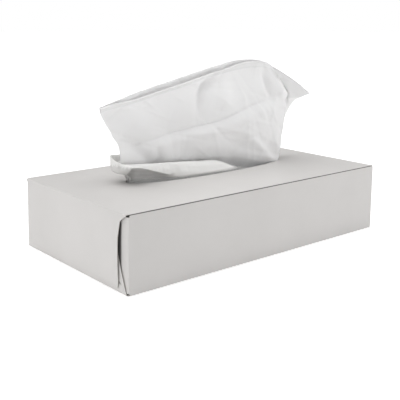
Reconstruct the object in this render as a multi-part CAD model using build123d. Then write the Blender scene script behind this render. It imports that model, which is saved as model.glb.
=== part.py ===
from build123d import *
import os

# Flat tissue carton. X is the long side, the glued seam is on the -Y side,
# and the origin is the middle of the base. All sizes are in millimetres.

# Carton: one folded paperboard blank, outside sizes
LENGTH = 230.0
WIDTH = 120.0
HEIGHT = 48.0
BOARD = 0.45                    # paperboard thickness
FOLD_RADIUS = 0.8               # outside radius of a creased fold
LAYER_GAP = 0.1                 # air between two loose layers at an end
GLUE_FLAP = 18.0                # flap glued inside the front panel
SEAM_DROP = 0.15                # front panel's cut edge, below the top face
SEAM_GROOVE = 0.5               # groove between the cut edge and the top's fold

# End flaps: (setback from the panel's side edge, depth from its outer face)
OUTER_FLAP = [(6.4, 4.2), (8.0, 15.0), (8.0, 41.0), (9.5, 45.5)]    # on the top panel
MIDDLE_FLAP = [(16.5, 42.0)]                                        # on the bottom panel
DUST_FLAP = [(4.0, 46.0)]                                           # on front and back

# Oval opening in the middle of the top panel
OPENING_LENGTH = 144.0
OPENING_WIDTH = 36.0

# Plastic film under the opening, with a raised slit that grips the tissue
FILM = 0.2
FILM_END_BORDER = 14.0          # glued border beyond each end of the opening
FILM_SIDE_BORDER = 16.0         # glued border beyond each side of the opening
MOUTH_CLEARANCE = 1.0           # from the opening's edge to the raised film
MOUTH_RISE = 9.5                # the slit's lips above the top panel
SLIT_END_MARGIN = 2.5           # from the opening's end to the slit's end
SLIT_WIDTH = 1.6

# Stack of interfolded tissues
STACK_END_CLEARANCE = 7.0
STACK_SIDE_CLEARANCE = 6.0
STACK_HEADROOM = 8.0            # from the stack to the film
STACK_EDGE_RADIUS = 5.0

# Pulled tissue: a sheet that lies on the stack and rises through the slit
TISSUE = 0.5
REST_GAP = 0.3                  # between the sheet and the stack
SLIT_CLEARANCE = 2.0            # between the sheet's sides and the slit's ends
LYING_REACH = 42.0              # the lying part, from the slit to its free edge
LYING_INSET = 2.0               # the lying part's sides, inside the stack's ends
BEND_RADIUS = 1.5               # where the lying part turns up
# Outline of the standing part, clockwise: X, and height above the top panel
STANDING_LEFT = [(-79.0, 24.0), (-96.0, 56.5)]
STANDING_TOP = [(-69.0, 64.0), (-6.0, 75.5), (34.0, 81.0), (57.0, 76.5)]
STANDING_RIGHT = [(104.0, 50.5), (82.0, 50.0), (79.0, 24.0)]
# Billow of the standing part: Y, and height above the slit's lips
BILLOW = [(-2.5, 18.0), (1.5, 42.0), (0.0, 75.0)]

layer_step = BOARD + LAYER_GAP
wall_end = LENGTH / 2 - 2 * layer_step - 2 * FOLD_RADIUS
top_underside = HEIGHT - BOARD
film_underside = top_underside - FILM
lips_z = HEIGHT + MOUTH_RISE
slit_half_length = OPENING_LENGTH / 2 - SLIT_END_MARGIN

stack_length = LENGTH - 2 * (2 * layer_step + BOARD + STACK_END_CLEARANCE)
stack_width = WIDTH - 3 * BOARD - 2 * STACK_SIDE_CLEARANCE
stack_y = BOARD / 2             # the seam side is two boards thick
stack_top = film_underside - STACK_HEADROOM


def wall_section():
    """Section of the four walls across X, with the glued seam at the front."""
    half = WIDTH / 2
    hidden_face = BOARD - half
    bend_end = (hidden_face + FOLD_RADIUS, HEIGHT)
    groove = (hidden_face, HEIGHT - SEAM_GROOVE)
    sides = Polyline(
        groove, (hidden_face, HEIGHT - SEAM_DROP), (-half, HEIGHT - SEAM_DROP),
        (-half, 0), (half, 0), (half, HEIGHT), bend_end,
    )
    seam_bend = TangentArc(bend_end, groove, tangent=(-1, 0))
    outer = make_face(sides + seam_bend)
    folds = [v for v in outer.vertices() if v.Y < BOARD or v.X > half - BOARD]
    hollow = RectangleRounded(
        WIDTH - 2 * BOARD, HEIGHT - 2 * BOARD, FOLD_RADIUS - BOARD,
    )
    glue_flap = Rectangle(BOARD, GLUE_FLAP, align=(Align.MIN, Align.MAX))
    ring = fillet(folds, FOLD_RADIUS) - Pos(0, HEIGHT / 2) * hollow
    return ring + Pos(hidden_face, top_underside) * glue_flap


def end_flap(panel_width, reach, layer, profile):
    """End of the panel that faces +Z at the +X end, with its fold and flap.

    reach is the panel's outer face above the carton's axis, layer counts
    inwards from the outermost flap, and profile lists the flap's corners.
    """
    face_x = LENGTH / 2 - layer * layer_step
    mid = BOARD / 2
    strip_path = FilletPolyline(
        (wall_end, reach - mid), (face_x - mid, reach - mid), (face_x - mid, -reach),
        radius=FOLD_RADIUS - mid,
    )
    strip = extrude(Plane.XZ * trace(strip_path, BOARD), panel_width / 2, both=True)
    hinge_setback = FOLD_RADIUS + BOARD
    corners = [(hinge_setback, 0), (hinge_setback, FOLD_RADIUS)] + profile
    right = [(panel_width / 2 - setback, reach - depth) for setback, depth in corners]
    left = [(-y, z) for y, z in reversed(right)]
    outline = make_face(Polyline(*right, *left, close=True))
    return strip & extrude(Plane.YZ * outline, LENGTH)


def carton():
    """The folded blank: walls, glued seam, oval opening and eight end flaps."""
    walls = extrude(Plane.YZ * wall_section(), wall_end, both=True)
    axis = Pos(0, 0, HEIGHT / 2)
    top_flap = end_flap(WIDTH, HEIGHT / 2, 0, OUTER_FLAP)
    bottom_flap = end_flap(WIDTH, HEIGHT / 2, 1, MIDDLE_FLAP)
    dust_flap = end_flap(HEIGHT, WIDTH / 2, 2, DUST_FLAP)
    flaps = [
        axis * top_flap,
        axis * Rot(180, 0, 0) * bottom_flap,
        axis * Rot(90, 0, 0) * dust_flap,
        axis * Rot(-90, 0, 0) * dust_flap,
    ]
    blank = walls
    for flap in flaps:
        blank += flap
        blank += mirror(flap, Plane.YZ)
    opening = Ellipse(OPENING_LENGTH / 2, OPENING_WIDTH / 2)
    return blank - Pos(0, 0, HEIGHT / 2) * extrude(opening, HEIGHT)


def half_ellipsoid(length, width, height):
    """Upper half of an ellipsoid that stands on the XY plane."""
    ball = scale(Sphere(1), by=(length / 2, width / 2, height))
    return split(ball, Plane.XY, keep=Keep.TOP)


def film_insert():
    """Film glued under the top panel, raised through the opening to a slit."""
    sheet = Box(
        OPENING_LENGTH + 2 * FILM_END_BORDER, OPENING_WIDTH + 2 * FILM_SIDE_BORDER,
        FILM, align=(Align.CENTER, Align.CENTER, Align.MIN),
    )
    mouth_length = OPENING_LENGTH - 2 * MOUTH_CLEARANCE
    mouth_width = OPENING_WIDTH - 2 * MOUTH_CLEARANCE
    mouth_height = lips_z - film_underside
    outside = half_ellipsoid(mouth_length, mouth_width, mouth_height)
    inside = half_ellipsoid(
        mouth_length - 2 * FILM, mouth_width - 2 * FILM, mouth_height - FILM,
    )
    slit = Box(2 * slit_half_length, SLIT_WIDTH, 2 * mouth_height)
    return Pos(0, 0, film_underside) * (sheet + outside - inside - slit)


def tissue_stack():
    """The folded sheets that are left, resting on the carton's floor."""
    block = Box(
        stack_length, stack_width, stack_top - BOARD,
        align=(Align.CENTER, Align.CENTER, Align.MIN),
    )
    upright = block.edges().filter_by(Axis.Z)
    block = fillet(upright, BOARD)
    upper_rim = block.faces().sort_by(Axis.Z)[-1].edges()
    return Pos(0, stack_y, BOARD) * fillet(upper_rim, STACK_EDGE_RADIUS)


def pulled_tissue():
    """The next sheet: flat on the stack, up through the slit, billowed above."""
    lying_z = stack_top + REST_GAP + TISSUE / 2
    lying = FilletPolyline(
        (LYING_REACH, lying_z), (0, lying_z), (0, lips_z), radius=BEND_RADIUS,
    )
    crests = [(y, lips_z + rise) for y, rise in BILLOW]
    standing = Spline((0, lips_z), *crests, tangents=[(0, 1), (0, 1)])
    ribbon = Plane.YZ * (trace(lying, TISSUE) + trace(standing, TISSUE))
    neck_half = slit_half_length - SLIT_CLEARANCE
    neck_z = film_underside - REST_GAP
    lying_half = stack_length / 2 - LYING_INSET
    shoulder_z = lying_z + TISSUE / 2 + REST_GAP
    above = STANDING_LEFT + STANDING_TOP + STANDING_RIGHT
    outline = [(-lying_half, 0), (-lying_half, shoulder_z)]
    outline += [(-neck_half, neck_z), (-neck_half, lips_z)]
    outline += [(x, HEIGHT + rise) for x, rise in above]
    outline += [(neck_half, lips_z), (neck_half, neck_z)]
    outline += [(lying_half, shoulder_z), (lying_half, 0)]
    silhouette = Plane.XZ * make_face(Polyline(*outline, close=True))
    sheet = extrude(ribbon, LENGTH / 2, both=True)
    return sheet & extrude(silhouette, WIDTH, both=True)


os.makedirs("parts", exist_ok=True)
parts = {
    "carton": carton(),
    "film_insert": film_insert(),
    "tissue_stack": tissue_stack(),
    "pulled_tissue": pulled_tissue(),
}
for node, shape in parts.items():
    export_step(shape, f"parts/{node}.step")
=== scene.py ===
"""A flat paperboard tissue carton with one sheet pulled up through its film slit."""
import math

import bmesh
import bpy
import numpy as np
from mathutils import Matrix, Vector


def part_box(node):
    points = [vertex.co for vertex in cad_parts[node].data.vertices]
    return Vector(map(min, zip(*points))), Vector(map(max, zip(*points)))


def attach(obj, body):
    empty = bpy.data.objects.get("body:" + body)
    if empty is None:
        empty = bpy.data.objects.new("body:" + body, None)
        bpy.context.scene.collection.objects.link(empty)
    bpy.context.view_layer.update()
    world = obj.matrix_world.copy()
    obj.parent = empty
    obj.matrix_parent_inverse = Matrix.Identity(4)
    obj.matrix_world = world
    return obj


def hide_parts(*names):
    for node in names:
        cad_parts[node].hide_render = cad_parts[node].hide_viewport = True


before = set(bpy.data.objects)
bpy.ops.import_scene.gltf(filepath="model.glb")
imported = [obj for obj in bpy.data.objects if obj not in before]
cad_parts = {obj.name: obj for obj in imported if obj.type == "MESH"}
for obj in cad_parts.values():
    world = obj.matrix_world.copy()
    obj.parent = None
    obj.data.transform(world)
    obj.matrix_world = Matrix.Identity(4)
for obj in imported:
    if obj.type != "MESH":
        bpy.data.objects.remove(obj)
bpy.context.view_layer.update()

MM = 0.001
RNG = np.random.default_rng(11)


# ---------------------------------------------------------------- sizes, in mm

def node_box(name):
    """A node's lowest and highest corners in millimetres."""
    low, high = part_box(name)
    return np.array(low) / MM, np.array(high) / MM


_, carton_high = node_box("carton")
stack_low, stack_high = node_box("tissue_stack")
_, film_high = node_box("film_insert")

HALF_LENGTH = carton_high[0]
HALF_WIDTH = carton_high[1]
HEIGHT = carton_high[2]
BOARD = stack_low[2]                    # the stack lies on the carton's floor
STACK_TOP = stack_high[2]
FOLD = 0.8                              # outside radius of a creased fold
LAYER = 0.55                            # from one end layer to the next
OPENING_A = 72.0                        # half length of the oval opening
OPENING_B = 18.0                        # half width of the oval opening
CROWN = 2.8                             # rise of the top panel's middle
TOUCH = 0.01                            # points closer than this are one point


# ------------------------------------------------------------- mesh utilities

def spread(start, stop, step):
    """Evenly spaced stations from start to stop, about step apart."""
    count = max(2, int(round(abs(stop - start) / step)) + 1)
    return np.linspace(start, stop, count)


def quarter(centre, radius, start_deg, stop_deg, count=6):
    """Points on an arc in a plane, ends included."""
    turn = np.radians(np.linspace(start_deg, stop_deg, count))
    return np.stack([centre[0] + radius * np.cos(turn), centre[1] + radius * np.sin(turn)], 1)


def smoothstep(low, high, value):
    """0 below low, 1 above high, and smooth between them."""
    t = np.clip((value - low) / (high - low), 0.0, 1.0)
    return t * t * (3.0 - 2.0 * t)


def bell(value, centre, reach):
    """1 at the centre, falling off smoothly over about reach on both sides."""
    return np.exp(-((value - centre) / reach) ** 2)


class Patchwork:
    """Grids of points that are welded into one mesh where they meet."""

    def __init__(self):
        self.points = []
        self.faces = []
        self.marks = []
        self.count = 0

    def add(self, grid, closed=False, mark=0.0):
        """Adds a grid of points (rows, columns, 3); closed joins its last column to its first.

        mark is a number for each point, which the material can read.
        """
        rows, columns = grid.shape[:2]
        index = np.arange(rows * columns).reshape(rows, columns) + self.count
        after = np.roll(index, -1, axis=1)
        last = columns if closed else columns - 1
        quads = np.stack([index[:-1, :last], after[:-1, :last], after[1:, :last], index[1:, :last]], -1)
        self.points.append(grid.reshape(-1, 3))
        self.marks.append(np.broadcast_to(mark, (rows, columns)).reshape(-1))
        self.faces.append(quads.reshape(-1, 4))
        self.count += rows * columns

    def build(self, name, weld=TOUCH, sharp_deg=50.0):
        """The welded mesh as a new object, in metres."""
        mesh = bpy.data.meshes.new(name)
        points = np.concatenate(self.points) * MM
        mesh.from_pydata(points.tolist(), [], np.concatenate(self.faces).tolist())
        mark = mesh.attributes.new("mark", "FLOAT", "POINT")
        mark.data.foreach_set("value", np.concatenate(self.marks).astype(np.float32))
        work = bmesh.new()
        work.from_mesh(mesh)
        bmesh.ops.remove_doubles(work, verts=work.verts, dist=weld * MM)
        bmesh.ops.recalc_face_normals(work, faces=work.faces)
        work.to_mesh(mesh)
        work.free()
        piece = bpy.data.objects.new(name, mesh)
        bpy.context.collection.objects.link(piece)
        shade(mesh, sharp_deg)
        return piece


def shade(mesh, sharp_deg):
    """Smooth shading, apart from edges that turn by more than sharp_deg."""
    work = bmesh.new()
    work.from_mesh(mesh)
    limit = math.radians(sharp_deg)
    for face in work.faces:
        face.smooth = True
    for edge in work.edges:
        edge.smooth = len(edge.link_faces) == 2 and edge.calc_face_angle(0.0) < limit
    work.to_mesh(mesh)
    work.free()


def apply_modifiers(piece):
    """Replaces the piece's mesh by the one that its modifiers make."""
    depsgraph = bpy.context.evaluated_depsgraph_get()
    made = bpy.data.meshes.new_from_object(piece.evaluated_get(depsgraph))
    piece.modifiers.clear()
    piece.data = made


# -------------------------------------------------------------------- carton

GLUE_FLAP = 18.0                        # depth of the flap glued behind the front panel
SEAM_DROP = 0.35                        # from the top down to the front panel's cut edge
SEAM_GAP = 0.25                         # air beside the front panel's cut edge
CORNER_INSET = 1.5                      # flaps start this far from a panel's sides
# How far each end flap's sides are set in, and at what depth below its fold.
OUTER_FLAP = [(6.4, 4.2), (8.0, 15.0), (8.0, 41.0), (9.5, 45.5)]
MIDDLE_FLAP = [(16.5, 42.0)]
DUST_FLAP = [(4.0, 46.0)]
OUTER_LIFT = 1.25                       # how far a flap's side edges stand off
MIDDLE_LIFT = 0.45
LIFT_ROUND = 0.6                        # below 1, the lift is even along the edge
WALL_END = HALF_LENGTH - 2 * LAYER - FOLD
BOARD_STEP = 1.25                       # spacing of mesh lines along the walls
PANEL_STEP = 2.4                        # and across them
FLAP_STEP = 1.4                         # and down the end flaps
FRONT_BULGE = 1.6                       # the front panel's bulge, full at the left
FRONT_BULGE_FROM = 120.0                # x where it would start to grow
FRONT_BULGE_FULL = -60.0                # x beyond which it is full
FRONT_BULGE_SQUARE = 10                 # the power by which it ends at the folds
BACK_BULGE = 0.5
DENT = 1.0                              # the shallow dent in the top panel
DENT_X = -62.0
DENT_Y = -34.0
DENT_LENGTH = 26.0
DENT_WIDTH = 13.0
TIE_PITCH = 4.6                         # perforation round the opening
TIE_WIDTH = 1.2
TIE_LEAST = 0.1                         # how far the torn stubs stand out
TIE_MOST = 0.55
RINGS = 26                              # mesh rings round the opening
RING_GROWTH = 2.3                       # how much they widen outwards


def crown(x, y):
    """Rise of the top panel above flat: a low dome with a dent near its front left."""
    along = np.clip(1 - (x / WALL_END) ** 2, 0, 1)
    across = np.clip(1 - (y / (HALF_WIDTH - 2 * FOLD)) ** 2, 0, 1)
    dent = DENT * bell(x, DENT_X, DENT_LENGTH) * bell(y, DENT_Y, DENT_WIDTH)
    return CROWN * along ** 0.8 * across - dent * along * across


def warp_board(points):
    """Bulges the top, front and back panels outwards, in place; the ends stay flat."""
    x, y, z = points.T.copy()
    on_top = smoothstep(HEIGHT - 3 * BOARD, HEIGHT - 2 * BOARD, z)
    inside = np.abs(x) < WALL_END + TOUCH
    points[:, 2] += np.where(inside, crown(x, y) * on_top, 0)
    along = np.clip(1 - (x / WALL_END) ** 2, 0, 1)
    up = np.clip(1 - ((z - HEIGHT / 2) / (HEIGHT / 2)) ** 2, 0, 1)
    side = smoothstep(HALF_WIDTH - 3 * BOARD, HALF_WIDTH - 2 * BOARD, np.abs(y))
    to_left = smoothstep(FRONT_BULGE_FROM, FRONT_BULGE_FULL, x)
    square = np.clip(1 - (x / WALL_END) ** FRONT_BULGE_SQUARE, 0, 1)
    outward = np.where(y < 0, -FRONT_BULGE * to_left * square, BACK_BULGE * along)
    points[:, 1] += np.where(inside, side * up * outward, 0)


def wall_grid(section):
    """A (y, z) section run along the walls' length."""
    x = spread(-WALL_END, WALL_END, BOARD_STEP)
    grid = np.empty((len(x), len(section), 3))
    grid[..., 0] = x[:, None]
    grid[..., 1:] = section[None]
    return grid


def rail(half):
    """Stations across a panel of this half width, where a flap can hang."""
    return spread(CORNER_INSET - half, half - CORNER_INSET, PANEL_STEP)


def seam_section():
    """Glue flap, then the fold up to the top panel."""
    face = -HALF_WIDTH + BOARD + SEAM_GAP
    z = spread(HEIGHT - BOARD - GLUE_FLAP, HEIGHT - FOLD, 3.0)
    flap = np.stack([np.full(len(z), face), z], 1)
    bend = quarter((face + FOLD, HEIGHT - FOLD), FOLD, 180, 90)
    return np.concatenate([flap, bend[1:]])


def wrap_section():
    """From the top panel round the back, bottom and front to the cut edge."""
    inner_y, inner_z = HALF_WIDTH - FOLD, HEIGHT - FOLD
    side_z = HEIGHT / 2 + rail(HEIGHT / 2)
    bottom_y = rail(HALF_WIDTH)
    back = [(HALF_WIDTH, z) for z in side_z[::-1]]
    bottom = [(y, 0.0) for y in bottom_y[::-1]]
    front = [(-HALF_WIDTH, z) for z in side_z] + [(-HALF_WIDTH, HEIGHT - SEAM_DROP)]
    return np.concatenate([
        quarter((inner_y, inner_z), FOLD, 90, 0), back,
        quarter((inner_y, FOLD), FOLD, 0, -90), bottom,
        quarter((-inner_y, FOLD), FOLD, -90, -180), front,
    ])


def top_border():
    """The top panel's border points in order, from the front left corner."""
    x = spread(-WALL_END, WALL_END, BOARD_STEP)
    front_y = -HALF_WIDTH + BOARD + SEAM_GAP + FOLD
    back_y = HALF_WIDTH - FOLD
    y = np.concatenate([[front_y], rail(HALF_WIDTH), [back_y]])
    border = [(a, front_y) for a in x[:-1]] + [(WALL_END, b) for b in y[:-1]]
    border += [(a, back_y) for a in x[:0:-1]] + [(-WALL_END, b) for b in y[:0:-1]]
    return np.array(border)


def opening_rim(angle, inset=0.0):
    """Points of the oval opening's edge, or of an oval inside it."""
    return np.stack([(OPENING_A - inset) * np.cos(angle), (OPENING_B - inset) * np.sin(angle)], -1)


def torn_ties(rim):
    """Small stubs that are left on the rim where the perforation tore."""
    gaps = np.linalg.norm(np.roll(rim, -1, axis=0) - rim, axis=1)
    walked = np.cumsum(gaps)
    pitch = walked[-1] / round(walked[-1] / TIE_PITCH)
    tie = np.floor(walked / pitch).astype(int)
    size = RNG.uniform(TIE_LEAST, TIE_MOST, tie.max() + 2)[tie]
    return size * (np.mod(walked, pitch) < TIE_WIDTH)


def top_panel():
    """Rings of points from the oval opening out to the top panel's border."""
    border = top_border()
    angle = np.arctan2(border[:, 1] / HALF_WIDTH, border[:, 0] / WALL_END)
    rim = opening_rim(angle)
    inward = -rim / np.linalg.norm(rim, axis=1, keepdims=True)
    torn = rim + inward * torn_ties(rim)[:, None]
    rings = [np.column_stack([torn, np.full(len(torn), HEIGHT)])]
    for k in range(1, RINGS + 1):
        share = (math.exp(RING_GROWTH * k / RINGS) - 1) / (math.exp(RING_GROWTH) - 1)
        ring = rim + (border - rim) * share
        rings.append(np.column_stack([ring, np.full(len(ring), HEIGHT)]))
    return np.array(rings)


def flap_grid(half, layer, profile, lift):
    """A panel's end and flap as (across, outward, inward) points.

    half is half the panel's width, inward counts from the panel's outer face,
    and lift is how far the flap's middle side edges stand off.
    """
    face = HALF_LENGTH - layer * LAYER
    depth_end = profile[-1][1]
    bend = quarter((face - FOLD, FOLD), FOLD, -90, 0, 7)
    flat = spread(WALL_END, face - FOLD, LAYER)
    start = np.column_stack([flat, np.zeros(len(flat))])
    depths = spread(FOLD, depth_end, FLAP_STEP)
    down = np.column_stack([np.full(len(depths), face), depths])
    path = np.concatenate([start[:-1], bend, down[1:]])
    setbacks = [CORNER_INSET, CORNER_INSET] + [p[0] for p in profile]
    at_depths = [0.0, FOLD] + [p[1] for p in profile]
    across = rail(half)
    reach = half - np.interp(path[:, 1], at_depths, setbacks)
    grid = np.empty((len(path), len(across), 3))
    grid[..., 0] = across[None] * (reach / (half - CORNER_INSET))[:, None]
    grid[..., 1] = path[:, :1]
    grid[..., 2] = path[:, 1:]
    share = np.clip((path[:, 1] - FOLD) / (depth_end - FOLD), 0, 1)[:, None]
    to_side = smoothstep(0.5, 1.0, np.abs(across) / across.max())[None]
    grid[..., 1] += lift * np.sin(np.pi * share) ** LIFT_ROUND * to_side
    return grid


# Painted shade: a dark line in the front seam under the top's fold, and darkness in the gaps behind the
# outer end flaps.
SEAM_SHADE_START = 0.2                  # depths behind the front panel's face
SEAM_SHADE_FULL = 0.4
SEAM_SHADE_FADE = 1.0
SEAM_SHADE_END = 1.3
SEAM_SHADE_DROP = 1.1                   # how far down from the top edge it goes
FLAP_SHADE = 0.9                        # how dark the painted shade in the gap behind an outer flap is
FLAP_SHADE_FACE = 0.3                   # distances from the gap's outer face,
FLAP_SHADE_BACK = 0.4                   # its inner end,
FLAP_SHADE_SIDE = 7.4                   # the carton's sides,
FLAP_SHADE_TOP = 5.5                    # and its top and bottom


def shade_gaps(piece):
    """Marks the painted shade on the board that lies deep in the front seam or behind an outer end flap.
    """
    spots = np.array([v.co for v in piece.data.vertices]) / MM
    x, z = np.abs(spots[:, 0]), spots[:, 2]
    depth = spots[:, 1] + HALF_WIDTH
    at_seam = smoothstep(SEAM_SHADE_END, SEAM_SHADE_FADE, depth)
    at_seam *= smoothstep(SEAM_SHADE_START, SEAM_SHADE_FULL, depth) * (z > HEIGHT - SEAM_SHADE_DROP)
    under_flap = (x < HALF_LENGTH - FLAP_SHADE_FACE) & (x > WALL_END + FLAP_SHADE_BACK)
    under_flap &= np.abs(spots[:, 1]) < HALF_WIDTH - FLAP_SHADE_SIDE
    under_flap &= np.abs(z - HEIGHT / 2) < HEIGHT / 2 - FLAP_SHADE_TOP
    painted_gap_shade = piece.data.attributes.new("painted_gap_shade", "FLOAT", "POINT")
    painted_gap_shade.data.foreach_set("value", np.maximum(at_seam, FLAP_SHADE * under_flap).astype(np.float32))


def build_carton():
    """The folded blank with its glued seam, oval opening and eight end flaps."""
    blank = Patchwork()
    blank.add(wall_grid(seam_section()))
    blank.add(wall_grid(wrap_section()))
    blank.add(top_panel(), closed=True)
    for end in (-1, 1):
        outer = flap_grid(HALF_WIDTH, 0, OUTER_FLAP, OUTER_LIFT)
        middle = flap_grid(HALF_WIDTH, 1, MIDDLE_FLAP, MIDDLE_LIFT)
        dust = flap_grid(HEIGHT / 2, 2, DUST_FLAP, 0.0)
        for grid, place in (
            (outer, lambda p, q, r: (end * q, p, HEIGHT - r)),
            (middle, lambda p, q, r: (end * q, p, r)),
            (dust, lambda p, q, r: (end * q, r - HALF_WIDTH, HEIGHT / 2 + p)),
            (dust, lambda p, q, r: (end * q, HALF_WIDTH - r, HEIGHT / 2 + p)),
        ):
            blank.add(np.stack(place(grid[..., 0], grid[..., 1], grid[..., 2]), -1))
    for points in blank.points:
        warp_board(points)
    piece = blank.build("carton_board")
    shade_gaps(piece)
    thick = piece.modifiers.new("board", "SOLIDIFY")
    thick.thickness = BOARD * MM
    thick.offset = -1.0
    thick.material_offset = 1
    thick.material_offset_rim = 2
    piece.data.materials.append(board_face())
    piece.data.materials.append(board_inside())
    piece.data.materials.append(board_edge())
    apply_modifiers(piece)
    return piece


# ----------------------------------------------------------------- materials

class Nodes:
    """A material's node tree, with short ways to add and join nodes."""

    def __init__(self, name):
        self.material = bpy.data.materials.new(name)
        self.material.use_nodes = True
        self.tree = self.material.node_tree
        self.shader = self.tree.nodes["Principled BSDF"]
        self.output = self.tree.nodes["Material Output"]

    def add(self, kind, inputs=(), **settings):
        """A node with these settings, its inputs set to values or joined to outputs."""
        node = self.tree.nodes.new(kind)
        for key, value in settings.items():
            setattr(node, key, value)
        for key, value in dict(inputs).items():
            if isinstance(value, bpy.types.NodeSocket):
                self.tree.links.new(value, node.inputs[key])
            else:
                node.inputs[key].default_value = value
        return node

    def link(self, out, into):
        """Joins an output to an input."""
        self.tree.links.new(out, into)

    def place(self, scale=1.0, stretch=(1, 1, 1)):
        """Object coordinates, scaled."""
        spot = self.add("ShaderNodeTexCoord").outputs["Object"]
        size = [scale * s for s in stretch]
        return self.add("ShaderNodeMapping", {"Vector": spot, "Scale": size}).outputs["Vector"]

    def noise(self, scale, detail=3.0, rough=0.55, stretch=(1, 1, 1), distort=0.0):
        """A cloudy pattern from 0 to 1."""
        spot = self.place(1.0, stretch)
        made = self.add("ShaderNodeTexNoise", {
            "Vector": spot, "Scale": scale, "Detail": detail,
            "Roughness": rough, "Distortion": distort,
        })
        return made.outputs["Fac"]

    def ramp(self, value, stops):
        """A colour ramp through (position, colour) stops."""
        node = self.add("ShaderNodeValToRGB", {"Fac": value})
        band = node.color_ramp
        for k, (at, colour) in enumerate(stops):
            stop = band.elements[k] if k < 2 else band.elements.new(at)
            stop.position = at
            stop.color = (*colour, 1.0)
        return node.outputs["Color"]

    def bump(self, height, strength, distance, below=None):
        """A normal that follows this height pattern, on top of the one below."""
        inputs = {"Height": height, "Strength": strength, "Distance": distance}
        if below is not None:
            inputs["Normal"] = below
        return self.add("ShaderNodeBump", inputs).outputs["Normal"]


GAP_COLOUR = (0.05, 0.045, 0.045, 1)    # painted shade: the colour of board deep in gaps, where no light reaches


def board_shader(name, light, dark, rough, grain):
    """Paperboard: mottled colour, fine fibres, a faint unevenness, and painted shade in its deep gaps.
    """
    n = Nodes(name)
    cloud = n.ramp(n.noise(24.0, 4.0), [(0.3, dark), (0.7, light)])
    # Painted shade: the marked gaps are tinted towards a near black colour.
    painted_gap_shade = n.add("ShaderNodeAttribute", attribute_name="painted_gap_shade").outputs["Fac"]
    tint = n.add("ShaderNodeMix", {0: painted_gap_shade, 6: cloud, 7: GAP_COLOUR}, data_type="RGBA")
    n.link(tint.outputs[2], n.shader.inputs["Base Color"])
    n.shader.inputs["Roughness"].default_value = rough
    n.shader.inputs["Specular IOR Level"].default_value = 0.35
    n.shader.inputs["Sheen Weight"].default_value = 0.08
    fibres = n.noise(1500.0, 3.0, 0.6, stretch=(1, 0.35, 1), distort=0.6)
    uneven = n.bump(n.noise(60.0, 2.0), 0.25, 0.0004)
    n.link(n.bump(fibres, grain, 0.00004, below=uneven), n.shader.inputs["Normal"])
    return n.material


def board_face():
    return board_shader("board_face", (0.615, 0.6, 0.588), (0.588, 0.574, 0.561), 0.52, 0.35)


def board_inside():
    return board_shader("board_inside", (0.44, 0.42, 0.39), (0.38, 0.365, 0.34), 0.8, 0.6)


def board_edge():
    return board_shader("board_edge", (0.50, 0.48, 0.45), (0.40, 0.385, 0.36), 0.85, 0.8)


carton = build_carton()
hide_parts("carton")
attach(carton, "root")


# ---------------------------------------------------------------- smooth lines

def length_along(points):
    """Length walked along a line at each of its points."""
    return np.concatenate([[0], np.cumsum(np.linalg.norm(np.diff(points, axis=0), axis=1))])


def height_at(x, line):
    """Height of a line of (x, height) points at x."""
    return np.interp(x, [p[0] for p in line], [p[1] for p in line])


def smooth_line(points, shares):
    """A smooth line through the given points, at these shares of its length.

    A whole number asks for that many evenly spaced stations.
    """
    if isinstance(shares, int):
        shares = np.linspace(0, 1, shares)
    points = np.asarray(points, float)
    ends = np.array([2 * points[0] - points[1], 2 * points[-1] - points[-2]])
    held = np.concatenate([ends[:1], points, ends[1:]])
    t = np.linspace(0, 1, 12, endpoint=False)[:, None]
    curve = []
    for a, b, c, d in zip(held[:-3], held[1:-2], held[2:-1], held[3:]):
        bend = 2 * b + (c - a) * t
        bend += (2 * a - 5 * b + 4 * c - d) * t ** 2
        bend += (3 * b - a - 3 * c + d) * t ** 3
        curve.append(bend / 2)
    curve = np.concatenate(curve + [points[-1:]])
    walked = length_along(curve[:, :3])
    at = walked[-1] * shares
    return np.stack([np.interp(at, walked, curve[:, k]) for k in range(curve.shape[1])], 1)


def patch(left, right, top, bottom, down):
    """A surface spanned by four border lines, with rows at shares down."""
    v = down[:, None, None]
    u = np.linspace(0, 1, len(top))[None, :, None]
    sides = (1 - u) * left[:, None] + u * right[:, None]
    ends = (1 - v) * top[None] + v * bottom[None]
    corners = (1 - v) * ((1 - u) * top[0] + u * top[-1])
    corners = corners + v * ((1 - u) * bottom[0] + u * bottom[-1])
    return sides + ends - corners


def from_line(points, x, z):
    """Distance of each (x, z) from a line through points, positive on its left
    side, and the share of the line's length at the nearest place."""
    line = smooth_line(points, 24)
    spot = np.stack([x, z], -1)[..., None, :]
    start, run = line[:-1], np.diff(line, axis=0)
    share = np.clip(((spot - start) * run).sum(-1) / (run ** 2).sum(-1), 0, 1)
    gap = spot - (start + share[..., None] * run)
    far = np.linalg.norm(gap, axis=-1)
    nearest = far.argmin(-1)[..., None]
    side = np.sign(run[:, 0] * gap[..., 1] - run[:, 1] * gap[..., 0])
    along = (np.take_along_axis(share, nearest, -1) + nearest) / len(run)
    return (np.take_along_axis(side * far, nearest, -1))[..., 0], along[..., 0]


# ----------------------------------------------------------------- film collar

# The slit's lips as pulled up, from the left end: x, y, z of the lip, and the
# turn in degrees of the point on the opening's rim that it is pulled up from.
FRONT_LIP = [
    (-82, 5, 68.5, -190), (-81.5, 0, 65.6, -184), (-79, -4.5, 63.8, -172), (-74, -7.5, 63.2, -163),
    (-67.5, -8.3, 62.9, -155), (-60, -9, 62.4, -144), (-43, -9, 61.2, -125), (-30, -8.5, 60.1, -114),
    (-14, -8, 58.6, -101), (-1.5, -7.5, 57.6, -91), (7, -7.5, 55.4, -84), (15, -9.5, 52.0, -78),
    (24, -11, 50.2, -70), (40, -12.2, 48.9, -56), (58, -8.6, 48.4, -36), (69.5, -0.5, 48.4, -6),
]
BACK_LIP = [
    (-82, 5, 68.5, 170), (-76, 12, 67, 158), (-68, 14, 66.2, 148), (-56, 14, 65.4, 137),
    (-40, 12, 63, 123), (0, 9, 60, 90), (38, 8, 55.5, 58), (60, 5, 50.5, 34), (69.5, -0.5, 48.4, -6),
]
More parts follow.
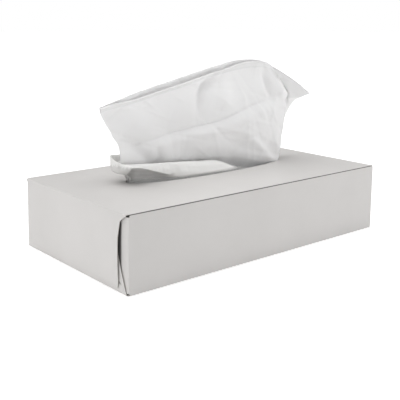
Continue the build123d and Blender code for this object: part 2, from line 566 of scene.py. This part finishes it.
# Where the front lip's band folds under, left of the middle: x and height.
BAND_FOLD = [
    (-80, 62.6), (-70.7, 61.7), (-64.4, 60.2), (-57.4, 57.8), (-50.9, 55.8), (-43.5, 53.6), (-36, 51.6),
]
BAND_START = -36.0                      # x where the band starts to fold under
BAND_WHOLE = -46.0                      # and where it does so wholly
BAND_DEEP = -56.0                       # and where its foot is deepest
BAND_DEPTH = 7.5                        # how far its foot then stands back
BAND_FOLD_Y = -12.4                     # where the fold under the band stands
BAND_FACE_Y = -11.6                     # and the middle of the band's face
BAND_LEAST = 0.8                        # least height of the band above its fold
END_LEAN_X = 5.0                        # the left end's hollow, right of its lip,
END_LEAN_Z = 56.0                       # and its height
END_NECK_X = 0.6                        # and the neck above it
END_NECK_Z = 59.0
END_SIDE = (-6.4, -3.6)                 # y over which the front band becomes the end
END_FROM = (-66.0, -76.0)               # and x over which the end begins
HEM_REACH = 1.8                         # how far the lip turns inwards
HEM_DROP = 3.2                          # and down again
FILM_SHARES = (0, 0.25, 0.5, 0.75, 0.93)    # mesh lines of the film under the board
FILM_EDGE_X = film_high[0] - 0.5        # half sizes of the film under the board
FILM_EDGE_Y = film_high[1] - 0.5
FILM_THICK = 0.12
FILM_AIR = 0.2                          # from the board's underside to the collar's foot
FILM_SAG = 0.1                          # and a little more to the flat film
RIM_INSET = 0.4                         # the flat film ends this far inside the rim,
FOOT_INSET = 1.6                        # and the collar starts this far inside it,
FOOT_DROP = 1.2                         # and this far below the board
LIP_STATIONS = 190                      # mesh lines along each lip


def lip_profile(rim, crest, flare, tuck):
    """One wall of film from the opening's rim up to the lip and over it.

    flare is 1 at the left end, which leans out over the board, and tuck is 1
    where the band folds under itself.
    """
    rise = max(crest[2] - rim[2], 0.0)
    run = crest - rim

    def at(across, up):
        """A point that is these shares of the way across and up to the crest."""
        return rim + np.array([run[0] * across, run[1] * across, run[2] * up])

    plain = [rim, at(0.0, 0.3), at(0.12, 0.55), at(0.35, 0.78), at(0.7, 0.95), crest]
    fold_z = min(height_at(crest[0], BAND_FOLD), crest[2] - BAND_LEAST)
    depth = BAND_DEPTH * smoothstep(BAND_START, BAND_DEEP, crest[0])
    under = [
        rim, rim + np.array([0, 0.45 * depth, 0.25 * (fold_z - rim[2])]),
        np.array([crest[0], rim[1] + 0.8 * depth, rim[2] + 0.72 * (fold_z - rim[2])]),
        np.array([crest[0], BAND_FOLD_Y, fold_z]),
        np.array([crest[0], BAND_FACE_Y, 0.4 * fold_z + 0.6 * crest[2]]), crest,
    ]
    lean = [
        rim, rim + np.array([0.4, 0.4, 2.6]), rim + np.array([0.2, 0.5, 5.6]),
        np.array([crest[0] + END_LEAN_X, 0.5 * (rim[1] + crest[1]), END_LEAN_Z]),
        np.array([crest[0] + END_NECK_X, 0.2 * rim[1] + 0.8 * crest[1], END_NECK_Z]), crest,
    ]
    mixed = (1 - flare - tuck) * np.array(plain) + flare * np.array(lean) + tuck * np.array(under)
    wall = np.concatenate([smooth_line(mixed[:4], 17)[:-1], smooth_line(mixed[3:], 10)])
    inward = np.array([0.0, -np.sign(crest[1] + TOUCH) * min(HEM_REACH, 0.3 * abs(crest[1])), 0.0])
    drop = min(HEM_DROP, 0.4 + 0.4 * rise)
    over = [
        crest + inward * share - np.array([0, 0, drop * fall])
        for share, fall in ((0.3, -0.04), (0.65, 0.1), (0.95, 0.5), (1.05, 1.0))
    ]
    return np.concatenate([wall, over])


def film_columns():
    """Lip points and rim turns all round the slit, from the left end."""
    front = smooth_line(FRONT_LIP, LIP_STATIONS)
    back = smooth_line(BACK_LIP, LIP_STATIONS)[::-1]
    ring = np.concatenate([front, back[1:-1]])
    return ring[:, :3], np.radians(ring[:, 3])


MILKY_FROM = 50.2                       # height at which the film starts to cloud
MILKY_FULL = 53.0
BACK_CLEARER = 0.35                     # the back wall and the folded band cloud less
FOLD_CLEARER = 0.3


def cloud_film(piece):
    """Marks how milky the film is: clear where it lies flat, milky where it is stretched."""
    x, y, z = np.array([v.co for v in piece.data.vertices]).T / MM
    cover = smoothstep(MILKY_FROM, MILKY_FULL, z) * (1 - BACK_CLEARER * smoothstep(0, 8, y))
    folded_under = smoothstep(0.2, 0.6, height_at(x, BAND_FOLD) - z) * (x < BAND_FOLD[-1][0])
    cover *= 1 - FOLD_CLEARER * folded_under
    milky = piece.data.attributes.new("milky", "FLOAT", "POINT")
    milky.data.foreach_set("value", cover.astype(np.float32))


def build_film():
    """The film under the top panel, with its slit's lips pulled up to a collar."""
    crest, angle = film_columns()
    edge = np.stack([np.cos(angle), np.sin(angle)], 1)
    edge /= np.maximum(np.abs(edge[:, 0]), np.abs(edge[:, 1]))[:, None]
    edge *= (FILM_EDGE_X, FILM_EDGE_Y)
    rim = opening_rim(angle, RIM_INSET)
    foot = opening_rim(angle, FOOT_INSET)
    base = HEIGHT - BOARD - FILM_AIR
    columns = []
    for lip, border, spot, inner in zip(crest, edge, rim, foot):
        flat = [border + (spot - border) * share for share in FILM_SHARES]
        under = [(x, y, base + crown(x, y) - FILM_SAG) for x, y in flat]
        start = np.array([inner[0], inner[1], base + crown(*inner) - FOOT_DROP])
        at_left = smoothstep(*END_SIDE, lip[1]) * smoothstep(*END_FROM, lip[0])
        tuck = (1 - at_left) * (lip[1] < 0) * smoothstep(BAND_START, BAND_WHOLE, lip[0])
        columns.append(np.concatenate([np.array(under), lip_profile(start, lip, at_left, tuck)]))
    grid = np.array(columns).transpose(1, 0, 2)
    gathers = 0.12 * np.sin(angle * 96.0) + 0.16 * np.sin(angle * 37.0 + 1.3)
    grid[..., 1] += gathers[None] * smoothstep(HEIGHT + 3, HEIGHT + 12, grid[..., 2])
    skin = Patchwork()
    skin.add(grid, closed=True)
    piece = skin.build("film_collar", sharp_deg=60)
    cloud_film(piece)
    thick = piece.modifiers.new("film", "SOLIDIFY")
    thick.thickness = FILM_THICK * MM
    thick.offset = 0.0
    piece.data.materials.append(film_skin())
    apply_modifiers(piece)
    return piece


# -------------------------------------------------------------- pulled tissue

SHEET_WIDTH = 213.0                     # the sheet as cut
# The sheet's borders above the slit, as (x, y, z).
LEFT_EDGE = [
    (-95.4, 0, 102), (-93.8, 0, 97.8), (-91.8, 0, 93.8), (-89.4, 0, 89.7), (-86.4, 0, 85.5),
    (-84.2, 0, 81.4), (-80.6, 0, 77), (-78.8, 0, 73), (-78.2, 0, 67.7), (-77.4, 0, 62), (-69.5, 0, 50),
]
TOP_EDGE = [
    (-95.4, 0, 102), (-74.2, 0, 106.6), (-51.2, 0, 111.5), (-31.8, 0, 115.8), (-11.4, 0, 120.3),
    (7.2, 0, 123.9), (26.7, 0, 127.2), (42.6, 0, 127.5), (54.7, 0, 125.5), (61.2, 0, 122.6),
]
FLAP_CREASE = [
    (61.2, 0, 122.6), (68, -0.5, 115.6), (76, -1, 107.7), (83.5, -1, 100.4), (84.5, -0.5, 97.3),
    (82.6, 0, 93.5), (82.4, 0, 86.6), (80.6, 0, 78), (78.2, 0, 68.8), (75.6, 0, 59.5), (71.3, 0, 49.8),
]
SLIT_LINE = [
    (-69.5, 0, 50), (-40, 0, 51), (0, 0, 51), (24, -3.5, 50.9),
    (42, -9.5, 50.6), (56, -9, 50.3), (65, -6.5, 50), (71.3, 0, 49.8),
]
FLAP_TOP = [(61.2, 0, 122.6), (77.1, -4, 113.8), (90.3, -4, 107.1), (103.5, -3, 99.8)]
FLAP_EDGE = [
    (103.5, -3, 99.1), (97.5, -1, 96.2), (92, 1, 93.5), (88, 4, 86), (86, 7, 76), (80.5, 7, 64),
    (71, 3, 49.8),
]
FLAP_FOOT = [(71.3, 0, 49.8), (71.6, 1.5, 49.8), (71, 3, 49.8)]
MAIN_COLUMNS = 172                      # mesh lines down the sheet
FLAP_COLUMNS = 44                       # and down its flap
SHEET_ROWS = 120
DOWN = np.linspace(0, 1, SHEET_ROWS) ** 1.35   # rows lie closer near the top edge
STANDING = 60.0                         # about how far down the sheet the slit is

# Hollows (positive) and ridges (negative) of the standing sheet: line, width, depth.
RELIEF_LINES = [
    ([(4, 120), (-8, 108), (-14, 88)], 4.5, 4.2),
    ([(-24, 112), (-28, 96), (-30, 86)], 12.0, -1.6),
    ([(14, 116), (10, 100), (8, 92)], 8.0, -2.4),
    ([(54, 119), (57, 108), (60, 97)], 3.2, 3.4),
    ([(68, 112), (71, 104), (72, 98)], 4.0, -2.2),
    ([(30, 74), (44, 62), (58, 50)], 3.4, -1.8),
    ([(10, 76), (28, 64), (46, 52)], 5.0, 1.2),
    ([(62, 84), (60, 70), (60, 56)], 5.0, -1.6),
    ([(-72, 76), (-60, 68), (-52, 60)], 5.0, 3.4),
    ([(-76, 98), (-60, 88), (-44, 70)], 9.0, -1.8),
    ([(-50, 72), (-47, 64), (-50, 56)], 3.0, 2.2),
    ([(-20, 74), (6, 70), (30, 76)], 7.0, -1.8),
    ([(-40, 66), (-10, 63), (12, 61)], 5.0, 1.5),
]
# The line under which the sheet's billow tucks back into the slit.
TUCK_LINE = [(-82, 60), (-50, 60), (-19, 58.5), (10, 57.2), (26, 55.2), (40, 52), (52, 48.5), (80, 47)]
# The sharp crease that crosses the sheet.
LONG_CREASE = [(-58, 76), (-30, 81), (-3.4, 84), (16, 87.5), (36, 93), (56, 97)]
CREASE_DEPTH = 2.0
CREASE_WIDTH = 1.6
PUFF_DEPTH = 1.8                        # the paper stands out just below the crease
PUFF_BELOW = 6.0
PUFF_WIDTH = 5.0
BILLOW_DEPTH = 4.0                      # the sheet's middle stands out to the front
HOLLOW_DEPTH = 3.0                      # and its upper left lies back
ROLL_DEPTH = 1.2                        # long shallow waves
BULGE_DEPTH = 2.4                       # the low bulge over the slit
TUCK_DEPTH = 2.0


def faded(along, margin):
    """Fades a fold out to its two ends, along a half wave that lacks this share at each."""
    return np.sin(np.pi * np.clip(margin + (1 - 2 * margin) * along, 0, 1))


def sheet_relief(x, z, down):
    """How far the standing sheet lies behind its flat outline, in y.

    down is 0 at the top edge and 1 at the slit.
    """
    y = -BILLOW_DEPTH * bell(z, 82, 20) * bell(x, 5, 75)
    y += HOLLOW_DEPTH * bell(z, 118, 12) * bell(x, -20, 50)
    rolls = np.sin(x / 17.0 + z / 21.0) * smoothstep(1.0, 0.75, down)
    y += ROLL_DEPTH * rolls * (1.4 - smoothstep(0.0, 1.0, down))
    far, along = from_line(LONG_CREASE, x, z)
    crease = CREASE_DEPTH * np.exp(-np.abs(far) / CREASE_WIDTH)
    crease -= PUFF_DEPTH * bell(far, -PUFF_BELOW, PUFF_WIDTH)
    y += faded(along, 0.08) ** 0.5 * crease
    for line, wide, deep in RELIEF_LINES:
        far, along = from_line(line, x, z)
        y += deep * faded(along, 0.1) * bell(far, 0, wide)
    tuck_z = height_at(x, TUCK_LINE)
    low_middle = smoothstep(-90.0, -50.0, x) * smoothstep(60.0, 40.0, x)
    y -= BULGE_DEPTH * bell(z, tuck_z + 5.0, 7.0) * low_middle
    y += TUCK_DEPTH * smoothstep(tuck_z + 1.5, tuck_z - 3.0, z)
    return y


CRUMPLES = 110                          # how many small creases a ply has
CRUMPLE_DEPTH = 0.5
CRUMPLE_AREA = ((-95, 52), (95, 126))   # x and z, lowest and highest


def crumple(x, z, seed):
    """Many small straight creases in all directions."""
    dice = np.random.default_rng(seed)
    y = np.zeros_like(x)
    for _ in range(CRUMPLES):
        centre = dice.uniform(*CRUMPLE_AREA)
        turn = dice.uniform(0, np.pi)
        length = dice.uniform(6, 24)
        wide = dice.uniform(0.8, 2.8)
        along = (x - centre[0]) * np.cos(turn) + (z - centre[1]) * np.sin(turn)
        across = -(x - centre[0]) * np.sin(turn) + (z - centre[1]) * np.cos(turn)
        side = dice.choice([-1, 1])
        y += side * CRUMPLE_DEPTH * bell(along, 0, length) * np.exp(-np.abs(across) / wide)
    return y


TURN_BACK = 4.0                         # how far the right edge turns back
PLEAT_DEPTH = 0.9                       # gathers in the slit
PLEAT_SPREAD = 3.6                      # each is about six times this long
PLY_GAP = 0.5                           # each ply's distance from the middle


def part_plies(sheet, ply):
    """Parts the plies near the top edge, in place: the front one curls and sinks a little."""
    depth = DOWN[:, None] * STANDING
    middle = smoothstep(-92.0, -60.0, sheet[..., 0]) * smoothstep(55.0, 10.0, sheet[..., 0])
    if ply < 0:
        sheet[..., 2] -= np.exp(-depth / 9.0) * (0.5 + 3.3 * middle)
        sheet[..., 1] -= 2.6 * np.exp(-depth / 2.8) - 1.2 * np.exp(-depth / 0.5) + PLY_GAP
    else:
        sheet[..., 1] += 1.8 * np.exp(-depth / 14.0) * middle + PLY_GAP
        sheet[..., 1] -= 2.2 * np.exp(-depth / 3.2)


def standing_sheet(ply):
    """Grid of points of one ply above the slit, from its left to its right edge."""
    crease = smooth_line(FLAP_CREASE, DOWN)
    main = patch(
        smooth_line(LEFT_EDGE, DOWN), crease, smooth_line(TOP_EDGE, MAIN_COLUMNS),
        smooth_line(SLIT_LINE, MAIN_COLUMNS), DOWN,
    )
    flap = patch(
        crease, smooth_line(FLAP_EDGE, DOWN), smooth_line(FLAP_TOP, FLAP_COLUMNS),
        smooth_line(FLAP_FOOT, FLAP_COLUMNS), DOWN,
    )
    down = DOWN[:, None] * np.ones((1, MAIN_COLUMNS))
    across = np.linspace(0, 1, MAIN_COLUMNS)[None] * np.ones((SHEET_ROWS, 1))
    x, z = main[..., 0], main[..., 2]
    relief = sheet_relief(x, z, down) + crumple(x, z, 5 + ply)
    relief *= 0.1 + 0.9 * smoothstep(1.0, 0.93, across)
    turned_back = smoothstep(0.96, 1.0, across) * smoothstep(0.22, 0.4, down)
    relief += TURN_BACK * turned_back * smoothstep(1.0, 0.75, down)
    pleat = PLEAT_DEPTH * np.sin(x / PLEAT_SPREAD + 2.5 * np.sin(x / 19.0))
    relief += pleat * smoothstep(0.8, 1.0, down)
    main[..., 1] += relief
    flap[..., 1] += relief[:, -1:] * np.linspace(1, 0.0, FLAP_COLUMNS)[None]
    sheet = np.concatenate([main, flap[:, 1:]], 1)
    part_plies(sheet, ply)
    return sheet, sheet_painted_shading(sheet, across, ply)


TOP_SHADE_BAND = 3.2                      # painted shade: the grey band along the top edge
TOP_SHADE_BAND_MORE = 1.6                 # and how much wider it gets to the right
EDGE_HIGHLIGHT = 2.4                          # painted highlight: how much lighter and more translucent the front ply's very edge is
SIDE_SHADE_STRIP = (0.935, 0.955)             # painted shade: the darker strip inside the right edge
FLAP_TURN = 97.0                        # height that parts the flap's painted-shade upper part from its painted-light lower part; the side strip is shaded below it and lit above it


def sheet_painted_shading(sheet, across, ply):
    """Painted shade (positive) and painted light (negative) on the sheet: a grey band along the top
    edge, a highlight on the front ply's very edge, a lighter lower sheet, a strip inside the right edge,
    and the flap.
    """
    x, z = sheet[..., 0], sheet[..., 2]
    depth = DOWN[:, None] * STANDING
    band = TOP_SHADE_BAND + TOP_SHADE_BAND_MORE * smoothstep(10.0, 45.0, x)
    # Painted shade in a grey band along the top edge, and on the front ply a painted highlight on its
    # very edge.
    if ply < 0:
        painted_shading = 0.8 * smoothstep(band + 0.3, band, depth) - EDGE_HIGHLIGHT * smoothstep(1.1, 0.8, depth)
    else:
        painted_shading = 0.35 * smoothstep(band + 3.0, band + 2.0, depth)
    # Painted light: the lower part of the sheet is made lighter.
    painted_shading -= 0.4 * smoothstep(90.0, 62.0, z)
    # Painted shade in a strip inside the right edge below the flap's turn, and painted light above it.
    strip = smoothstep(*SIDE_SHADE_STRIP, across) * (1.0 if ply < 0 else 0.4)
    main_z = z[:, :MAIN_COLUMNS]
    low = smoothstep(FLAP_TURN + 1, FLAP_TURN - 2, main_z)
    strip_shade = 0.8 + 1.2 * smoothstep(90.0, 55.0, main_z)
    painted_shading[:, :MAIN_COLUMNS] += strip * (low * strip_shade - 0.6 * (1 - low))
    # The flap: painted shade above its turn and painted light below it.
    high = smoothstep(FLAP_TURN - 3, FLAP_TURN, z[:, MAIN_COLUMNS:])
    painted_shading[:, MAIN_COLUMNS:] = 0.9 * high - 0.8 * (1 - high)
    return painted_shading


def lying_sheet(foot, ply):
    """The rest of the sheet, inside: down to the stack, back, and forward again."""
    drop = foot[:, 2].mean() - STACK_TOP
    flat = 0.9 + 0.3 * ply - drop       # level of the sheet's first run on the stack
    line = smooth_line([
        (0, 0.0), (0.5, -0.35 * drop), (2.0, -0.8 * drop), (6, flat),
        (18, flat), (34, flat), (46, flat + 0.2),
        (48.5, flat + 1.6), (46, flat + 3.0), (30, flat + 2.4), (0, flat + 2.2),
        (-20, flat + 2.2), (-34, flat + 2.2),
    ], 46)
    walked = length_along(line)
    spreading = smoothstep(0, 55, walked)[:, None]
    side = np.linspace(-1, 1, len(foot))[None] * (SHEET_WIDTH / 2 - 4.0)
    grid = np.empty((len(line), len(foot), 3))
    grid[..., 0] = foot[None, :, 0] * (1 - spreading) + side * spreading
    settle = np.exp(-walked / 6.0)[:, None]
    grid[..., 1] = line[:, :1] + foot[None, :, 1] * settle + 0.6 * ply
    grid[..., 2] = foot[None, :, 2] * settle + foot[:, 2].mean() * (1 - settle) + line[:, 1:]
    lowest = STACK_TOP + 0.45 + 0.25 * ply
    grid[..., 2] = np.maximum(grid[..., 2], lowest)
    return grid[1:]


def build_ply(name, ply):
    """One of the sheet's two plies."""
    upper, painted_shading = standing_sheet(ply)
    lower = lying_sheet(upper[-1], ply)
    mark = np.concatenate([painted_shading, np.zeros(lower.shape[:2])])
    skin = Patchwork()
    skin.add(np.concatenate([upper, lower]), mark=mark)
    piece = skin.build(name, weld=TOUCH / 100, sharp_deg=180)
    piece.data.materials.append(tissue_paper())
    return piece


def tissue_paper():
    """Soft creped tissue: greyer and less translucent where its mark paints shade, lighter and more
    translucent where it paints light.
    """
    n = Nodes("tissue_paper")
    cloud = n.noise(55.0, 4.0, 0.6)
    tone = n.ramp(cloud, [(0.3, (0.985, 0.98, 0.98)), (0.7, (1.0, 0.998, 0.998))])
    # The mark holds painted shade (positive) and painted light (negative).
    painted_shading = n.add("ShaderNodeAttribute", attribute_name="mark").outputs["Fac"]
    greyer = n.add("ShaderNodeMapRange", {
        "Value": painted_shading, "From Min": -0.3, "From Max": 2.0, "To Min": 1.0, "To Max": 0.64,
    }).outputs["Result"]
    tone = n.add("ShaderNodeVectorMath", {0: tone, "Scale": greyer}, operation="SCALE").outputs["Vector"]
    n.link(tone, n.shader.inputs["Base Color"])
    n.shader.inputs["Roughness"].default_value = 0.95
    n.shader.inputs["Specular IOR Level"].default_value = 0.1
    n.shader.inputs["Sheen Weight"].default_value = 0.25
    n.shader.inputs["Sheen Roughness"].default_value = 0.6
    crepe = n.noise(900.0, 3.0, 0.6, stretch=(0.35, 1, 1.6), distort=0.5)
    blots = n.noise(170.0, 3.0, 0.6)
    normal = n.bump(crepe, 0.35, 0.00015, below=n.bump(blots, 0.3, 0.0006))
    n.link(normal, n.shader.inputs["Normal"])
    through = n.add("ShaderNodeBsdfTranslucent", {"Color": tone, "Normal": normal})
    # Painted shade also lowers the translucency, and painted light raises it.
    glow = n.add("ShaderNodeMapRange", {
        "Value": painted_shading, "From Min": -1.0, "From Max": 1.0, "To Min": 0.3, "To Max": 0.0,
    }).outputs["Result"]
    mix = n.add("ShaderNodeMixShader", {"Fac": glow})
    n.link(n.shader.outputs[0], mix.inputs[1])
    n.link(through.outputs[0], mix.inputs[2])
    n.link(mix.outputs[0], n.output.inputs["Surface"])
    return n.material


def film_skin():
    """Thin polythene, as milky as its mark says."""
    n = Nodes("film_skin")
    n.shader.inputs["Base Color"].default_value = (0.88, 0.875, 0.86, 1)
    n.shader.inputs["Roughness"].default_value = 0.3
    n.shader.inputs["Specular IOR Level"].default_value = 0.5
    n.shader.inputs["Coat Weight"].default_value = 0.25
    n.shader.inputs["Coat Roughness"].default_value = 0.15
    waves = n.noise(220.0, 3.0, 0.6, stretch=(1.6, 1, 0.3))
    n.link(n.bump(waves, 0.3, 0.0003), n.shader.inputs["Normal"])
    milky = n.add("ShaderNodeAttribute", attribute_name="milky").outputs["Fac"]
    clear = n.add("ShaderNodeBsdfTransparent", {"Color": (0.97, 0.97, 0.97, 1)})
    cover = n.add("ShaderNodeMapRange", {"Value": milky, "To Min": 0.1, "To Max": 0.97})
    mix = n.add("ShaderNodeMixShader", {"Fac": cover.outputs["Result"]})
    n.link(clear.outputs[0], mix.inputs[1])
    n.link(n.shader.outputs[0], mix.inputs[2])
    n.link(mix.outputs[0], n.output.inputs["Surface"])
    return n.material


def stack_paper():
    """The sides and top of a pile of folded tissues, sheet on sheet."""
    n = Nodes("stack_paper")
    layers = n.noise(600.0, 4.0, 0.7, stretch=(0.02, 0.02, 3.0))
    tone = n.ramp(layers, [(0.35, (0.62, 0.61, 0.60)), (0.65, (0.88, 0.875, 0.87))])
    n.link(tone, n.shader.inputs["Base Color"])
    n.shader.inputs["Roughness"].default_value = 0.95
    n.shader.inputs["Specular IOR Level"].default_value = 0.1
    n.shader.inputs["Sheen Weight"].default_value = 0.2
    crepe = n.noise(800.0, 3.0, 0.6, stretch=(0.4, 1, 1))
    n.link(n.bump(crepe, 0.3, 0.0002, below=n.bump(layers, 0.5, 0.0006)), n.shader.inputs["Normal"])
    return n.material


film = build_film()
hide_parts("film_insert")
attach(film, "root")

plies = [build_ply("tissue_front_ply", -1), build_ply("tissue_back_ply", 1)]
for ply in plies:
    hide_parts("pulled_tissue")
    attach(ply, "root")

bpy.data.objects["tissue_stack"].material_slots[0].material = stack_paper()


# --------------------------------------------------------- camera, light, floor

CAMERA_PLACE = (-0.3441, -0.3796, 0.1588)   # in metres
CAMERA_YAW = 38.33                      # degrees to the right of straight back
CAMERA_PITCH = -8.17
CAMERA_ROLL = -0.27
CAMERA_LENS = 64.9
CAMERA_SHIFT_X = 0.099
CAMERA_SHIFT_Y = -0.2


def make_camera():
    """The viewpoint: from the front left, a little above the carton's top."""
    camera = bpy.data.objects.new("camera", bpy.data.cameras.new("camera"))
    bpy.context.collection.objects.link(camera)
    camera.location = CAMERA_PLACE
    turn = Matrix.Rotation(math.radians(-CAMERA_YAW), 4, "Z")
    tilt = Matrix.Rotation(math.radians(90 + CAMERA_PITCH), 4, "X")
    lean = Matrix.Rotation(math.radians(-CAMERA_ROLL), 4, "Z")
    camera.rotation_euler = (turn @ tilt @ lean).to_euler()
    camera.data.lens = CAMERA_LENS
    camera.data.shift_x = CAMERA_SHIFT_X
    camera.data.shift_y = CAMERA_SHIFT_Y
    camera.data.clip_end = 20.0
    bpy.context.scene.camera = camera


def aim(lamp, place, target):
    """Puts a lamp at a place and turns it to a target."""
    lamp.location = place
    lamp.rotation_euler = (Vector(target) - Vector(place)).to_track_quat("-Z", "Y").to_euler()


def area_light(name, place, size, power):
    """A soft square lamp aimed at the carton."""
    data = bpy.data.lights.new(name, "AREA")
    data.size = size
    data.energy = power
    lamp = bpy.data.objects.new(name, data)
    bpy.context.collection.objects.link(lamp)
    aim(lamp, place, (0, 0, 0.05))


def sky_light(name, place, angle_deg, power):
    """A wide soft light from far off, in the direction of a place."""
    data = bpy.data.lights.new(name, "SUN")
    data.angle = math.radians(angle_deg)
    data.energy = power
    lamp = bpy.data.objects.new(name, data)
    bpy.context.collection.objects.link(lamp)
    aim(lamp, place, (0, 0, 0))


def make_lights():
    """Even light from above in a pale room, and soft lamps round the object."""
    sky_light("above", (-0.1, 0.1, 1.0), 80, 2.9)
    area_light("left", (-1.3, -0.1, 0.4), 0.8, 3.5)
    area_light("back", (0.1, 1.3, 0.8), 0.9, 1.2)
    area_light("right", (1.4, -0.3, 0.35), 0.8, 5.0)
    area_light("front", (0.9, -1.0, 0.5), 0.8, 3.4)
    world = bpy.data.worlds.new("room")
    world.use_nodes = True
    nodes, links = world.node_tree.nodes, world.node_tree.links
    back = nodes["Background"]
    back.inputs["Color"].default_value = (1, 1, 1, 1)
    back.inputs["Strength"].default_value = 1.0
    soft = nodes.new("ShaderNodeBackground")
    soft.inputs["Color"].default_value = (1.0, 1.0, 1.0, 1)
    soft.inputs["Strength"].default_value = 0.05
    mix = nodes.new("ShaderNodeMixShader")
    rays = nodes.new("ShaderNodeLightPath")
    links.new(rays.outputs["Is Camera Ray"], mix.inputs["Fac"])
    links.new(soft.outputs[0], mix.inputs[1])
    links.new(back.outputs[0], mix.inputs[2])
    links.new(mix.outputs[0], nodes["World Output"].inputs["Surface"])
    bpy.context.scene.world = world
    bpy.context.scene.view_settings.view_transform = "Standard"


def make_floor():
    """A plain pale floor."""
    mesh = bpy.data.meshes.new("floor")
    reach = 6.0                         # half its side, in metres
    corners = [(-reach, -reach, 0), (reach, -reach, 0), (reach, reach, 0), (-reach, reach, 0)]
    mesh.from_pydata(corners, [], [(0, 1, 2, 3)])
    floor = bpy.data.objects.new("floor", mesh)
    bpy.context.collection.objects.link(floor)
    n = Nodes("floor_white")
    n.shader.inputs["Base Color"].default_value = (0.92, 0.92, 0.92, 1)
    n.shader.inputs["Roughness"].default_value = 0.9
    n.shader.inputs["Specular IOR Level"].default_value = 0.1
    n.shader.inputs["Emission Color"].default_value = (1, 1, 1, 1)
    n.shader.inputs["Emission Strength"].default_value = 0.3
    mesh.materials.append(n.material)


make_camera()
make_lights()
make_floor()
